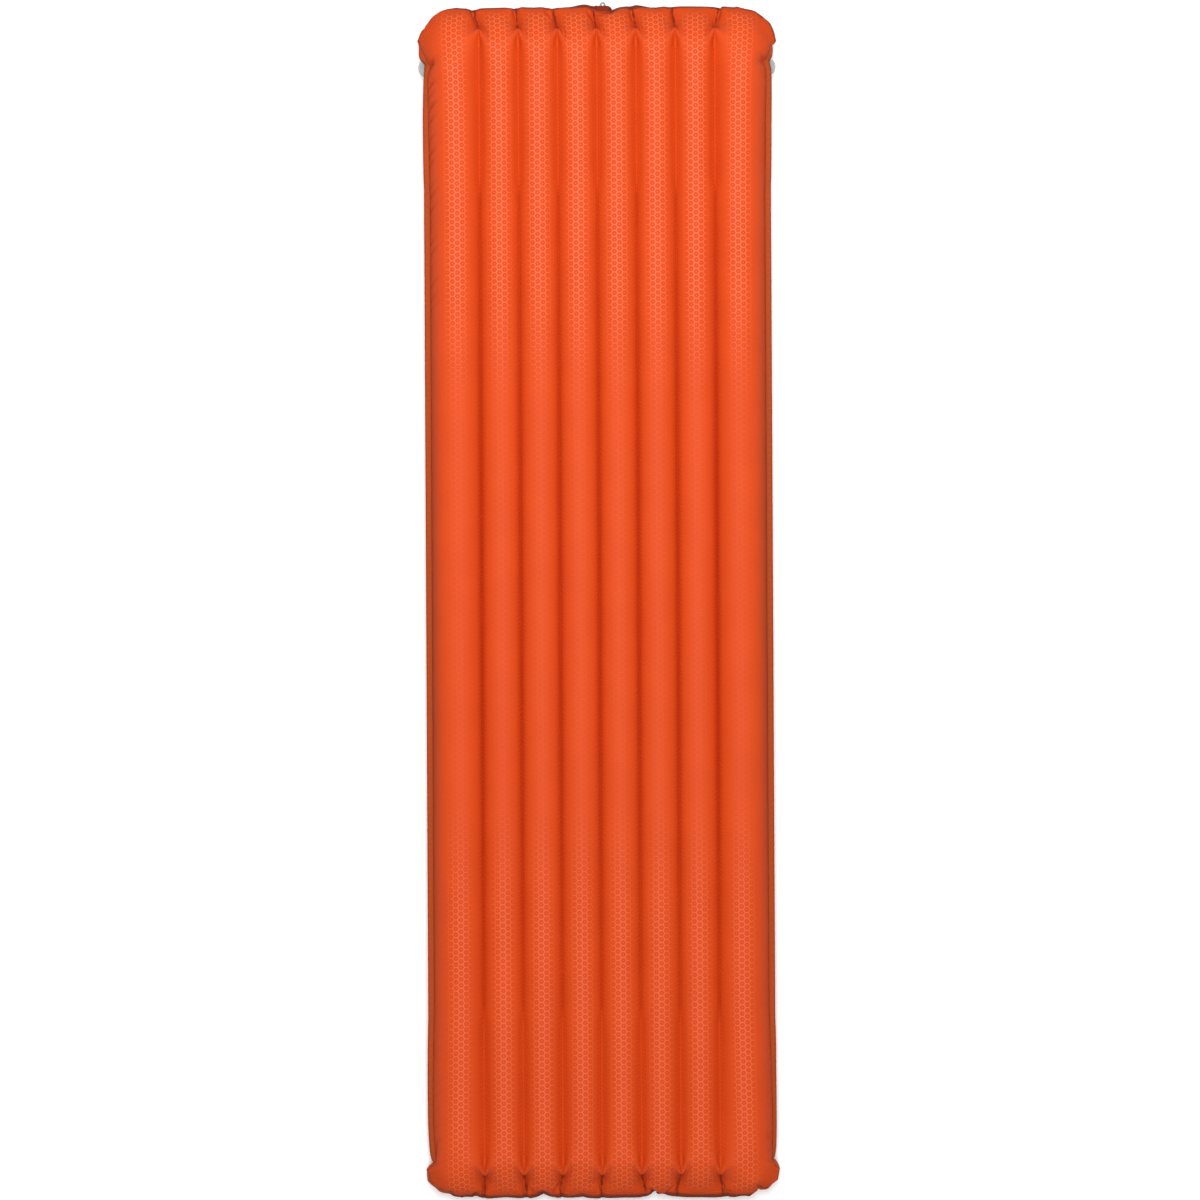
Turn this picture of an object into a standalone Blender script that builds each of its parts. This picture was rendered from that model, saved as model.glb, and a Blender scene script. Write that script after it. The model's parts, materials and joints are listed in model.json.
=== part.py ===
"""An inflatable sleeping pad with eight lengthwise air chambers, modelled inflated and lying on a floor.

Metres, +Z up, +Y towards the head end, +X to the right. The origin is at the bottom centre of the
overall box. Two thin fabric sheets are welded together round a flat flange. Seven thin baffles tie the
sheets together inside, so that the air pressure makes round tubes. Near the head end each outer tube
carries a flat plug valve on its underside: the left one to inflate, the right one to deflate.
"""

import math

import bmesh
import bpy
from mathutils import Matrix, Vector

# Driving dimensions of the inflated pad.
OVERALL_LENGTH = 1.830  # from the foot flange to the tip of the hang tab
TAB_PROUD = 0.006  # how far the hang tab sticks out past the head flange
CHAMBERS = 8
CHANNEL_PITCH = 0.060
INNER_RADIUS = 0.035  # tube radius of the six inner chambers
OUTER_RADIUS = 0.040  # tube radius of the two side chambers
FLANGE_WIDTH = 0.010
CORNER_RADIUS = 0.030  # of the weld seam, seen from above
END_CLOSURE = 0.036  # the tubes close to the end seam over this length
SHEET = 0.0006
GAP = 0.0003  # left between neighbouring pieces

# Facets of the tubes. The side tubes have a flat facet at the very bottom, which the pad lies on.
INNER_FACETS = 5
OUTER_FACET_ANGLE = math.radians(18)
OUTER_ARC_POINTS = 8
FIRST_OUTER_ANGLE = -2.5 * OUTER_FACET_ANGLE
FIRST_FLAT_POINT = 4  # the side tube's section points that the valve's flat takes, after the baffle's
LAST_FLAT_POINT = 7
END_STEPS = 4

# Baffles.
BAFFLE = 0.0004
BAFFLE_LIP = 0.007
BAFFLE_TO_SEAM = 0.036  # air passes from chamber to chamber round the baffles' ends

# Valves, in each valve's own frame: the origin on the outer face of the sheet in the middle of the
# throat, +X outwards and up along the sheet, and +Z straight out of the throat.
VALVE_FROM_HEAD_EDGE = 0.094
VALVE_TILT = math.radians(60)  # of the throat below the horizontal
VALVE_PLANE = 0.033  # from the side tube's axis to the flattened sheet
FLAT_HALF_WIDTH = 0.021
FLAT_HALF_LENGTH = 0.020
FLAT_RUN_OUT = 0.012
THROAT_BORE = 0.010
COLLAR_RADIUS = 0.0125
COLLAR_TOP = 0.002
WELD_RING_RADIUS = 0.0195
WELD_RING = 0.001
THROAT_WALL_RADIUS = 0.012
THROAT_DEPTH = 0.012
TETHER = 0.0012
TETHER_RING_RADIUS = 0.016
TETHER_END_RADIUS = 0.0135
HINGE_OUT = 0.034
HINGE_RADIUS = 0.0011
CAP_RADIUS = 0.0145
CAP = 0.0017
CAP_EDGE_ROUNDING = 0.0006
PLUG_RADIUS = 0.0094
PLUG_WALL = 0.0012
PLUG_DEPTH = 0.0035
STRAP_WIDTH = 0.020
STRAP = 0.0011
GRID_RADIUS = 0.0097
GRID = 0.0012
GRID_HOLE_RADIUS = 0.0023
GRID_HOLE_CIRCLE = 0.0058
GRID_HOLES = 6
FLAP_RADIUS = 0.011
FLAP = 0.0006

# Hang tab under the head flange.
TAB_OFFSET_X = 0.0095
TAB = 0.0012
TAB_RING_RADIUS = 0.00415
TAB_HOLE_RADIUS = 0.0017
TAB_LEAF_HALF_WIDTH = 0.007
TAB_LEAF_LENGTH = 0.0095

ROUND_STEPS = 32
SMALL_STEPS = 12

# Worked out from the driving dimensions.
PAD_LENGTH = OVERALL_LENGTH - TAB_PROUD
EDGE_Y = PAD_LENGTH / 2
SEAM_Y = EDGE_Y - FLANGE_WIDTH
INNER_HALF_ANGLE = math.asin(CHANNEL_PITCH / 2 / INNER_RADIUS)
VALLEY_HEIGHT = INNER_RADIUS * math.cos(INNER_HALF_ANGLE)
LAST_BAFFLE_X = (CHAMBERS / 2 - 1) * CHANNEL_PITCH
OUTER_START_ANGLE = -math.acos(VALLEY_HEIGHT / OUTER_RADIUS)
SIDE_TUBE_X = LAST_BAFFLE_X - OUTER_RADIUS * math.sin(OUTER_START_ANGLE)
FLANGE_FACE = GAP / 2 + SHEET
VALVE_Y = EDGE_Y - VALVE_FROM_HEAD_EDGE
HINGE_UP = GAP + TETHER + GAP + HINGE_RADIUS
CAP_BOTTOM = COLLAR_TOP + GAP
FLAP_TOP = -THROAT_DEPTH - GAP

FABRIC = (0.80, 0.115, 0.03, 1)
FABRIC_DARK = (0.62, 0.085, 0.025, 1)
BAFFLE_FILM = (0.75, 0.62, 0.52, 1)
GREY_TPU = (0.52, 0.54, 0.55, 1)
SILICONE = (0.35, 0.36, 0.38, 1)


def clear_scene():
    for thing in list(bpy.data.objects):
        bpy.data.objects.remove(thing, do_unlink=True)


def new_collection(name, shown=True):
    made = bpy.data.collections.new(name)
    made.hide_render = not shown
    bpy.context.scene.collection.children.link(made)
    return made


def finish(thing, colour, roughness):
    material = bpy.data.materials.new(thing.name + "_finish")
    material.use_nodes = True
    shader = material.node_tree.nodes["Principled BSDF"]
    shader.inputs["Base Color"].default_value = colour
    shader.inputs["Roughness"].default_value = roughness
    shader.inputs["Metallic"].default_value = 0.0
    thing.data.materials.append(material)


def place(thing, parent, location=(0, 0, 0)):
    thing.parent = parent
    thing.location = location


def mesh_object(name, form, collection):
    mesh = bpy.data.meshes.new(name)
    form.to_mesh(mesh)
    form.free()
    thing = bpy.data.objects.new(name, mesh)
    collection.objects.link(thing)
    return thing


def empty(name, matrix, parent, collection):
    guide = bpy.data.objects.new(name, None)
    guide.empty_display_size = 0.02
    collection.objects.link(guide)
    guide.parent = parent
    guide.matrix_basis = matrix
    return guide


def solidify(thing, thickness, offset):
    modifier = thing.modifiers.new("thickness", "SOLIDIFY")
    modifier.thickness = thickness
    modifier.offset = offset
    modifier.use_even_offset = True


def arc(centre, radius, start, end, steps):
    """Points (x, y) along an arc, both ends among them. The angles are in degrees."""
    turns = [math.radians(start + (end - start) * step / steps) for step in range(steps + 1)]
    return [(centre[0] + radius * math.cos(t), centre[1] + radius * math.sin(t)) for t in turns]


def circle(centre, radius, steps):
    return arc(centre, radius, 0, 360, steps)[:-1]


def plate(name, outlines, thickness, collection):
    """A flat plate as a filled 2D curve: the first outline is its edge, and the others are its holes."""
    curve = bpy.data.curves.new(name, "CURVE")
    curve.dimensions = "2D"
    curve.fill_mode = "BOTH"
    curve.extrude = thickness / 2
    for outline in outlines:
        spline = curve.splines.new("POLY")
        spline.points.add(len(outline) - 1)
        for point, (x, y) in zip(spline.points, outline):
            point.co = (x, y, 0, 1)
        spline.use_cyclic_u = True
    thing = bpy.data.objects.new(name, curve)
    collection.objects.link(thing)
    return thing


def turned(name, profile, collection, cyclic):
    """A turned piece: the (radius, height) profile runs down its outer side, turned round Z."""
    form = bmesh.new()
    points = [form.verts.new((radius, 0, height)) for radius, height in profile]
    for first, second in zip(points, points[1:]):
        form.edges.new((first, second))
    if cyclic:
        form.edges.new((points[-1], points[0]))
    thing = mesh_object(name, form, collection)
    screw = thing.modifiers.new("turn", "SCREW")
    screw.steps = ROUND_STEPS
    screw.render_steps = ROUND_STEPS
    screw.use_merge_vertices = True
    screw.merge_threshold = 0.00001
    return thing


def boolean(thing, other, operation):
    modifier = thing.modifiers.new(operation.lower(), "BOOLEAN")
    modifier.operation = operation
    modifier.object = other


def helper(thing, parent):
    """A cutter, or a piece that is joined into another, which isn't a part of its own."""
    thing.hide_render = True
    thing.display_type = "WIRE"
    place(thing, parent)


def tube_section():
    """(x, height) across one sheet from the centre line to the side seam, height above the mid-plane."""
    section = []
    step = 2 * INNER_HALF_ANGLE / INNER_FACETS
    for chamber in range(CHAMBERS // 2 - 1):
        centre = (chamber + 0.5) * CHANNEL_PITCH
        for point in range(INNER_FACETS):
            angle = -INNER_HALF_ANGLE + point * step
            reach = INNER_RADIUS / math.cos(step / 2) if point else INNER_RADIUS
            section.append((centre + reach * math.sin(angle), reach * math.cos(angle)))
    section.append((LAST_BAFFLE_X, VALLEY_HEIGHT))
    reach = OUTER_RADIUS / math.cos(OUTER_FACET_ANGLE / 2)
    for point in range(OUTER_ARC_POINTS):
        angle = FIRST_OUTER_ANGLE + point * OUTER_FACET_ANGLE
        section.append((SIDE_TUBE_X + reach * math.sin(angle), reach * math.cos(angle)))
    section.append((SIDE_TUBE_X + OUTER_RADIUS, 0.0))
    return section


def row_stations():
    """(y, share of the full height) along the sheet, from the middle to the end seam."""
    valve_rows = [
        VALVE_Y - FLAT_HALF_LENGTH - FLAT_RUN_OUT,
        VALVE_Y - FLAT_HALF_LENGTH,
        VALVE_Y + FLAT_HALF_LENGTH,
        VALVE_Y + FLAT_HALF_LENGTH + FLAT_RUN_OUT,
    ]
    rows = [(y, 1.0) for y in valve_rows]
    for step in range(END_STEPS + 1):
        turn = math.pi / 2 * step / END_STEPS
        rows.append((SEAM_Y - END_CLOSURE * (1 - math.sin(turn)), math.cos(turn)))
    return rows


def corner_turn(y):
    """How far the seam has turned round the corner at y, from 0 on the side to 90 degrees at the end."""
    past = abs(y) - (SEAM_Y - CORNER_RADIUS)
    return math.asin(min(max(past / CORNER_RADIUS, 0.0), 1.0))


def seam_x(y):
    return SIDE_TUBE_X + OUTER_RADIUS - CORNER_RADIUS * (1 - math.cos(corner_turn(y)))


def flat_for_valve(x, height, point, y):
    """(x, height) moved onto the valve's flat, for the points of the side tube's section that reach it."""
    beyond = abs(y - VALVE_Y) - FLAT_HALF_LENGTH
    share = 1.0 - min(max(beyond / FLAT_RUN_OUT, 0.0), 1.0)
    if not FIRST_FLAT_POINT <= point <= LAST_FLAT_POINT:
        return x, height
    place_on_flat = (point - FIRST_FLAT_POINT) / (LAST_FLAT_POINT - FIRST_FLAT_POINT)
    along = FLAT_HALF_WIDTH * (2 * place_on_flat - 1)
    out_x, out_z = math.cos(VALVE_TILT), math.sin(VALVE_TILT)
    flat_x = SIDE_TUBE_X + VALVE_PLANE * out_x + along * out_z
    flat_height = VALVE_PLANE * out_z - along * out_x
    return x + (flat_x - x) * share, height + (flat_height - height) * share


def sheet_point(column, y, share, on_flange_row, lower):
    """One point of a sheet's outer face, for x >= 0. The last column is the outer edge of the flange."""
    section = tube_section()
    baffle_column = len(section) - OUTER_ARC_POINTS - 2
    x, height = section[min(column, len(section) - 1)]
    if lower:
        x, height = flat_for_valve(x, height, column - baffle_column, y)
    if x > SIDE_TUBE_X:
        x = SIDE_TUBE_X + (x - SIDE_TUBE_X) * (seam_x(y) - SIDE_TUBE_X) / OUTER_RADIUS
    height = max(height * share, FLANGE_FACE)
    along = y
    if on_flange_row:
        along = math.copysign(EDGE_Y, y)
    elif column == len(section):
        turn = corner_turn(y)
        x += FLANGE_WIDTH * math.cos(turn)
        along += math.copysign(FLANGE_WIDTH * math.sin(turn), y)
    return x, along, height


def make_sheet(name, lower, parent, collection):
    """One sheet as a grid that is bent into tubes, with the thickness added inwards."""
    columns = len(tube_section())
    half = [(y, share, False) for y, share in row_stations()] + [(SEAM_Y, 0.0, True)]
    rows = [(-y, share, flange) for y, share, flange in reversed(half)] + half
    form = bmesh.new()
    bmesh.ops.create_grid(form, x_segments=2 * columns, y_segments=len(rows) - 1, size=1.0)
    for vert in form.verts:
        across = round(vert.co.x * columns)
        row = round((vert.co.y + 1) / 2 * (len(rows) - 1))
        y, share, flange = rows[row]
        x, along, height = sheet_point(abs(across), y, share, flange, lower)
        vert.co = (math.copysign(x, across), along, -height if lower else height)
    bmesh.ops.remove_doubles(form, verts=form.verts, dist=0.00001)
    if lower:
        bmesh.ops.reverse_faces(form, faces=form.faces)
    thing = mesh_object(name, form, collection)
    place(thing, parent)
    solidify(thing, SHEET, -1)
    thing.data.shade_smooth()
    thing.data.set_sharp_from_angle(angle=math.radians(50))
    finish(thing, FABRIC_DARK if lower else FABRIC, 0.5)
    return thing


def baffle_section():
    """(x, z) of a baffle's centre line: a web with a weld lip under each sheet, both on the +X side."""
    section = tube_section()
    (x0, z0), (x1, z1) = section[0], section[1]
    length = math.hypot(x1 - x0, z1 - z0)
    slope_x, slope_z = (x1 - x0) / length, (z1 - z0) / length
    drop = (SHEET + GAP + BAFFLE / 2) / slope_x
    top = VALLEY_HEIGHT - drop
    lip = (BAFFLE_LIP * slope_x, top + BAFFLE_LIP * slope_z)
    return [lip, (0, top), (0, -top), (lip[0], -lip[1])]


def make_baffles(parent, collection):
    """The seven baffles share one mesh. Those on the right are turned, so that their lips face inwards."""
    half_length = SEAM_Y - BAFFLE_TO_SEAM
    form = bmesh.new()
    section = baffle_section()
    bmesh.ops.create_grid(form, x_segments=len(section) - 1, y_segments=1, size=1.0)
    for vert in form.verts:
        x, z = section[round((vert.co.x + 1) / 2 * (len(section) - 1))]
        vert.co = (x, half_length * vert.co.y, z)
    web = bpy.data.meshes.new("baffle")
    form.to_mesh(web)
    form.free()
    for number in range(1, CHAMBERS):
        x = (number - CHAMBERS / 2) * CHANNEL_PITCH
        baffle = bpy.data.objects.new(f"baffle_{number}", web)
        collection.objects.link(baffle)
        place(baffle, parent, (x, 0, 0))
        if x > 0:
            baffle.rotation_euler.z = math.pi
        solidify(baffle, BAFFLE, 0)
    finish(baffle, BAFFLE_FILM, 0.55)


def valve_matrix(side):
    """The valve's frame, on the pad's mid-plane frame. side is 1 on the right and -1 on the left."""
    cos, sin = math.cos(VALVE_TILT), math.sin(VALVE_TILT)
    out = Vector((side * cos, 0, -sin))
    along = Vector((side * sin, 0, cos))
    across = out.cross(along)
    turn = Matrix((along, across, out)).transposed().to_4x4()
    centre = Vector((side * SIDE_TUBE_X, VALVE_Y, 0)) + VALVE_PLANE * out
    return Matrix.Translation(centre) @ turn


def make_valve_body(name, valve, collection):
    """A throat with a flange ring that is welded to the inside of the lower sheet."""
    ring_top = -SHEET - GAP
    profile = [
        (COLLAR_RADIUS, COLLAR_TOP),
        (COLLAR_RADIUS, ring_top),
        (WELD_RING_RADIUS, ring_top),
        (WELD_RING_RADIUS, ring_top - WELD_RING),
        (THROAT_WALL_RADIUS, ring_top - WELD_RING),
        (THROAT_WALL_RADIUS, -THROAT_DEPTH),
        (THROAT_BORE, -THROAT_DEPTH),
        (THROAT_BORE, COLLAR_TOP),
    ]
    body = turned(name, profile, collection, cyclic=True)
    place(body, valve)
    finish(body, GREY_TPU, 0.35)


def make_tether(name, valve, collection):
    """A flat ring round the collar, drawn out into a strap that ends in a half-round past the hinge."""
    lean = math.degrees(math.acos((TETHER_RING_RADIUS - TETHER_END_RADIUS) / HINGE_OUT))
    outline = arc((HINGE_OUT, 0), TETHER_END_RADIUS, -lean, lean, SMALL_STEPS)
    outline += arc((0, 0), TETHER_RING_RADIUS, lean, 360 - lean, 2 * SMALL_STEPS)
    hole = circle((0, 0), COLLAR_RADIUS + GAP, ROUND_STEPS)
    tether = plate(name, [outline, hole], TETHER, collection)
    place(tether, valve, (0, 0, GAP + TETHER / 2))
    finish(tether, GREY_TPU, 0.35)


def box(name, low, high, collection):
    form = bmesh.new()
    bmesh.ops.create_cube(form, size=1.0)
    low, high = Vector(low), Vector(high)
    for vert in form.verts:
        vert.co = [(a + b) / 2 + c * (b - a) for a, b, c in zip(low, high, vert.co)]
    return mesh_object(name, form, collection)


def make_cap(name, valve, collection, cutters):
    """A disc with a hollow plug, and a strap to a bead. Its parent empty is on the hinge axis."""
    hinge = empty(name + "_hinge", Matrix.Translation((HINGE_OUT, 0, HINGE_UP)), valve, collection)
    bottom = CAP_BOTTOM - HINGE_UP
    top = bottom + CAP
    profile = [
        (0, top),
        (CAP_RADIUS - CAP_EDGE_ROUNDING, top),
        (CAP_RADIUS, top - CAP_EDGE_ROUNDING),
        (CAP_RADIUS, bottom),
        (PLUG_RADIUS, bottom),
        (PLUG_RADIUS, bottom - PLUG_DEPTH + PLUG_WALL / 2),
        (PLUG_RADIUS - PLUG_WALL / 2, bottom - PLUG_DEPTH),
        (PLUG_RADIUS - PLUG_WALL, bottom - PLUG_DEPTH),
        (PLUG_RADIUS - PLUG_WALL, bottom + GAP),
        (0, bottom + GAP),
    ]
    cap = turned(name, profile, collection, cyclic=False)
    place(cap, hinge, (-HINGE_OUT, 0, 0))
    strap = box(
        name + "_strap",
        (PLUG_RADIUS - HINGE_OUT + 0.002, -STRAP_WIDTH / 2, bottom + 0.0001),
        (0, STRAP_WIDTH / 2, bottom + 0.0001 + STRAP),
        cutters,
    )
    helper(strap, hinge)
    bead_form = bmesh.new()
    bmesh.ops.create_cone(
        bead_form,
        cap_ends=True,
        segments=SMALL_STEPS,
        radius1=HINGE_RADIUS,
        radius2=HINGE_RADIUS,
        depth=STRAP_WIDTH,
        matrix=Matrix.Rotation(math.pi / 2, 4, "X"),
    )
    bead = mesh_object(name + "_bead", bead_form, cutters)
    helper(bead, hinge)
    boolean(cap, strap, "UNION")
    boolean(cap, bead, "UNION")
    finish(cap, GREY_TPU, 0.3)


def make_check_valve(valve, collection):
    """A grid in the inner end of the throat, and behind it a flap that only lets air in."""
    step = 360 / GRID_HOLES
    centres = arc((0, 0), GRID_HOLE_CIRCLE, 0, 360 - step, GRID_HOLES - 1)
    outlines = [circle((0, 0), GRID_RADIUS, ROUND_STEPS)]
    outlines += [circle(centre, GRID_HOLE_RADIUS, SMALL_STEPS) for centre in centres]
    grid = plate("inflate_check_grid", outlines, GRID, collection)
    place(grid, valve, (0, 0, -THROAT_DEPTH + GRID / 2))
    finish(grid, GREY_TPU, 0.4)
    form = bmesh.new()
    bmesh.ops.create_cone(
        form,
        cap_ends=True,
        segments=ROUND_STEPS,
        radius1=FLAP_RADIUS,
        radius2=FLAP_RADIUS,
        depth=FLAP,
        matrix=Matrix.Translation((FLAP_RADIUS, 0, 0)),
    )
    flap = mesh_object("inflate_check_flap", form, collection)
    place(flap, valve, (-FLAP_RADIUS, 0, FLAP_TOP - FLAP / 2))
    finish(flap, SILICONE, 0.45)


def cut_valve_hole(sheet, name, valve, cutters):
    form = bmesh.new()
    bmesh.ops.create_cone(
        form,
        cap_ends=True,
        segments=ROUND_STEPS,
        radius1=COLLAR_RADIUS + GAP,
        radius2=COLLAR_RADIUS + GAP,
        depth=WELD_RING_RADIUS / 2,
    )
    cutter = mesh_object(name, form, cutters)
    helper(cutter, valve)
    boolean(sheet, cutter, "DIFFERENCE")


def make_hang_tab(parent, collection):
    """A small moulded tab under the head flange, with a ring for a cord."""
    ring_y = TAB_PROUD - TAB_RING_RADIUS
    half = TAB_LEAF_HALF_WIDTH
    outline = [(-half, -TAB_LEAF_LENGTH), (half, -TAB_LEAF_LENGTH), (half, -TAB_LEAF_LENGTH / 3)]
    outline += arc((0, ring_y), TAB_RING_RADIUS, 0, 180, SMALL_STEPS)
    outline.append((-half, -TAB_LEAF_LENGTH / 3))
    hole = circle((0, ring_y), TAB_HOLE_RADIUS, SMALL_STEPS)
    tab = plate("hang_tab", [outline, hole], TAB, collection)
    place(tab, parent, (TAB_OFFSET_X, EDGE_Y, -FLANGE_FACE - GAP - TAB / 2))
    finish(tab, SILICONE, 0.5)


def main():
    clear_scene()
    pad = new_collection("inflatable_sleeping_pad")
    cutters = new_collection("cutters", shown=False)
    middle = Matrix.Translation((0, -TAB_PROUD / 2, OUTER_RADIUS))
    frame = empty("pad_mid_plane", middle, None, pad)
    make_sheet("top_sheet", False, frame, pad)
    bottom_sheet = make_sheet("bottom_sheet", True, frame, pad)
    make_baffles(frame, pad)
    for side, use in ((-1, "inflate"), (1, "deflate")):
        valve = empty(use + "_valve", valve_matrix(side), frame, pad)
        make_valve_body(use + "_valve_body", valve, pad)
        make_tether(use + "_tether", valve, pad)
        make_cap(use + "_cap", valve, pad, cutters)
        cut_valve_hole(bottom_sheet, use + "_hole", valve, cutters)
        if use == "inflate":
            make_check_valve(valve, pad)
    make_hang_tab(frame, pad)


main()
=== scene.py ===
"""The looks of an inflatable sleeping pad with eight lengthwise chambers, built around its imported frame.

Metres, +Z up, +Y towards the head end. The two fabric sheets start as the flat pattern that they are cut
to. Both ends are blown up by a small cloth solver, which gives the closing tubes, the pleats at the
baffles' ends, the corner ears and the notches of the flange. The stretch between is a row of true tubes.
"""

import json
import math

import bmesh
import bpy
import numpy as np
from mathutils import Matrix, Vector


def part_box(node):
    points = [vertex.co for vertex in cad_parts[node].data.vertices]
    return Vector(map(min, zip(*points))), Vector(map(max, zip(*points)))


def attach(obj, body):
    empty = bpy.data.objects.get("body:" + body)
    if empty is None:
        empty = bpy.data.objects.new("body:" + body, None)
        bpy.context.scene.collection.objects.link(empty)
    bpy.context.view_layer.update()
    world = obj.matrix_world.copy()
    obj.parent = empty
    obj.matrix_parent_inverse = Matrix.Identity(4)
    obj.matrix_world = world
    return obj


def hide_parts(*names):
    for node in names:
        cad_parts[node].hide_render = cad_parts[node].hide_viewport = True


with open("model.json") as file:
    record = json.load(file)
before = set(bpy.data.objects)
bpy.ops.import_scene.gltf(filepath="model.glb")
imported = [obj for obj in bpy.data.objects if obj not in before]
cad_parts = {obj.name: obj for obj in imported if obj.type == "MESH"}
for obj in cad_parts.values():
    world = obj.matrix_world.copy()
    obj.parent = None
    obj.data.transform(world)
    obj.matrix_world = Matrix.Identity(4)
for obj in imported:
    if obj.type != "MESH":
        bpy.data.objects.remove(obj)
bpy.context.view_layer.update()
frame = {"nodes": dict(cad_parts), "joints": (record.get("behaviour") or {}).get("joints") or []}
joints = {joint["name"]: joint for joint in frame["joints"]}

# ---- the frame's own sizes
TOP_LOW, TOP_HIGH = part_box("top_sheet")
BOTTOM_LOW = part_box("bottom_sheet")[0]
MID_Y = (TOP_LOW.y + TOP_HIGH.y) / 2
MID_Z = (TOP_HIGH.z + BOTTOM_LOW.z) / 2
EDGE_Y = (TOP_HIGH.y - TOP_LOW.y) / 2
EDGE_X = TOP_HIGH.x
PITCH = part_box("baffle_3")[0].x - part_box("baffle_2")[0].x
BAFFLE_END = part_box("baffle_3")[1].y - MID_Y
TAB_LOW, TAB_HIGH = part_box("hang_tab")
TAB_X = (TAB_LOW.x + TAB_HIGH.x) / 2

# ---- sizes of the fabric
R_IN = 0.035
R_OUT = TOP_HIGH.z - MID_Z
FLANGE = 0.010
SHEET = 0.0006
CORNER = 0.065
HALF_ANGLE_IN = math.asin(PITCH / 2 / R_IN)
VALLEY = R_IN * math.cos(HALF_ANGLE_IN)
HALF_ANGLE_OUT = math.acos(VALLEY / R_OUT)
ARC_IN = 2 * HALF_ANGLE_IN * R_IN
ARC_OUT = (HALF_ANGLE_OUT + math.pi / 2) * R_OUT
TUBE_X = EDGE_X - FLANGE - R_OUT
CROWN_OUT = 3 * ARC_IN + HALF_ANGLE_OUT * R_OUT

# ---- the solver's grid
CELL = 0.004
CELLS_IN = round(ARC_IN / CELL)
CELLS_OUT = round(ARC_OUT / CELL)
CELLS_FLANGE = 2
END_BLOCK = 0.30
FINE_ROWS = 0.14
SMOOTH_ROWS = 18  # cells next to the end seam that the final mesh halves
CUT_SEAM_Y = 0.920  # the end seam on the flat pattern: inflating pulls it in to its place
SEAM_Y = 0.9095
SIDE_FLANGE_END = 0.835  # from here on the side flanges turn down round the corners
CUT_BAFFLE_END = 0.879
PULL, PUSH = 1.0, 0.03  # the film's stiffness against stretching and against being pushed shorter
SHEAR = 0.35
BEND, BEND_LIMIT = 0.06, 0.8  # two cells resist being folded to less than this share of their length
CREASE_DROP = 5  # how fast a pleat drops behind its baffle's end
PLEAT_SINK = 0.006
HEAD_TILT, FOOT_TILT = 75, 54  # how far the flange hangs down round each end, in degrees

# ---- the valves
VALVE_TILT = math.radians(60)
HINGE_OUT, HINGE_UP = 0.034, 0.0029
VALVE_DISC = 0.0205
SEAT_GAP = 0.0003
THROAT_HOLE = 0.0126
VALVE_MARK = 0.0185  # where the flange ring's edge shows through the base fabric

# Deeper creases by the corners, on each side: (flat place along, depth).
SIDE_CREASES = {
    -1: [(0.820, 0.0042), (0.784, 0.0042), (0.750, 0.0024), (-0.872, 0.0026), (-0.838, 0.0020)],
    1: [(0.826, 0.0034), (0.800, 0.0018), (-0.868, 0.0026), (-0.830, 0.0020)],
}

# ---- the stretch between the ends
WRINKLES_FROM = 0.40
MIDDLE_ROWS = 68


def smooth(t):
    t = np.clip(t, 0, 1)
    return t * t * (3 - 2 * t)


def bell(gap, width):
    return np.exp(-((gap / width) ** 2))


def mirrored(values, sign):
    values = np.array(values)
    return np.concatenate([sign * values[:0:-1], values])


def section():
    """(flat place, x, height) across the inflated pad's upper sheet, from flange edge to flange edge."""
    flat, x, z = [0.0], [0.0], [VALLEY]
    for chamber in range(3):
        for k in range(1, CELLS_IN + 1):
            angle = HALF_ANGLE_IN * (2 * k / CELLS_IN - 1)
            flat.append((chamber + k / CELLS_IN) * ARC_IN)
            x.append((chamber + 0.5) * PITCH + R_IN * math.sin(angle))
            z.append(R_IN * math.cos(angle))
    for k in range(1, CELLS_OUT + 1):
        angle = -HALF_ANGLE_OUT + (HALF_ANGLE_OUT + math.pi / 2) * k / CELLS_OUT
        flat.append(3 * ARC_IN + ARC_OUT * k / CELLS_OUT)
        x.append(TUBE_X + R_OUT * math.sin(angle))
        z.append(R_OUT * math.cos(angle))
    for k in range(1, CELLS_FLANGE + 1):
        out = FLANGE * k / CELLS_FLANGE
        flat.append(3 * ARC_IN + ARC_OUT + out)
        x.append(TUBE_X + R_OUT + out)
        z.append(0.0)
    return mirrored(flat, -1), mirrored(x, -1), mirrored(z, 1)


FLAT, TUBES_X, TUBES_Z = section()
COLUMNS = len(FLAT)
LEFT, MIDDLE, RIGHT = CELLS_FLANGE, COLUMNS // 2, COLUMNS - 1 - CELLS_FLANGE
VALLEYS = [MIDDLE + (k - 3) * CELLS_IN for k in range(7)]
CUT_HALF_WIDTH = FLAT[-1]
CUT_HALF_LENGTH = CUT_SEAM_Y + FLANGE


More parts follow.
